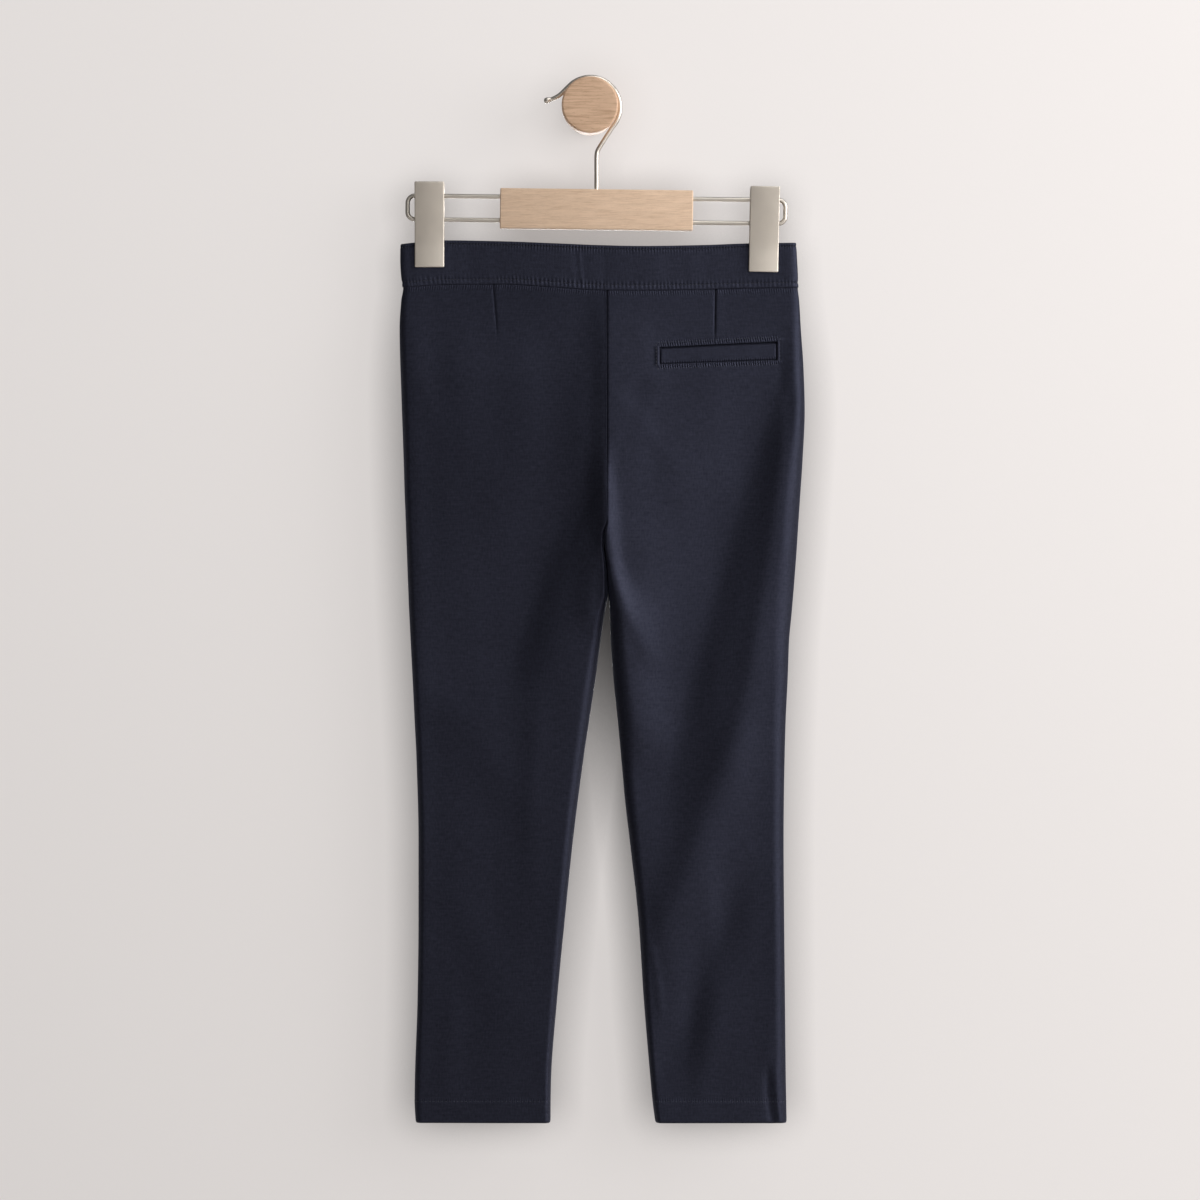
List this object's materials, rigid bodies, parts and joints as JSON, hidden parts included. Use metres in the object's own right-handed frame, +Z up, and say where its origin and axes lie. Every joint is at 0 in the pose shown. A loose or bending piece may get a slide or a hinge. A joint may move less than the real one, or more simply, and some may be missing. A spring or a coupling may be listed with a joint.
{
  "type": "skinny trousers on a clip hanger and wall peg",
  "caption": "Child's navy skinny trousers seen from the back, clamped by the waist in a wooden clip hanger whose wire hook hangs on a round wooden wall peg.",
  "frame": {"origin": "centre of the peg's back face, in the plane of the wall", "axes": "+Z up, +Y into the wall, so the seat of the trousers faces -Y and the wearer's left leg is at -X"},
  "size_m": [0.2909, 0.047, 0.7542],
  "materials": {
    "navy_twill": "matt stretch cotton twill",
    "button": "satin",
    "bar_wood": "clear matt lacquer, grain along the bar",
    "peg_wood": "clear matt lacquer, end grain to the front",
    "wire": "nickel plated, satin",
    "clip_metal": "champagne nickel, brushed",
    "clip_core_metal": "dull"
  },
  "bodies": {
    "root": {"back_left": "navy_twill", "back_right": "navy_twill", "front_left": "navy_twill", "front_right": "navy_twill", "waistband_left": "navy_twill", "waistband_right": "navy_twill", "pocket_welt": "navy_twill", "fly": "navy_twill", "waist_button": "button", "hanger_bar": "bar_wood", "wall_peg": "peg_wood", "hanger_hook": "wire", "hanger_rail": "wire", "clip_left_front_plate": "clip_metal", "clip_left_back_plate": "clip_metal", "clip_left_core": "clip_core_metal", "clip_right_front_plate": "clip_metal", "clip_right_back_plate": "clip_metal", "clip_right_core": "clip_core_metal"}
  },
  "joints": []
}
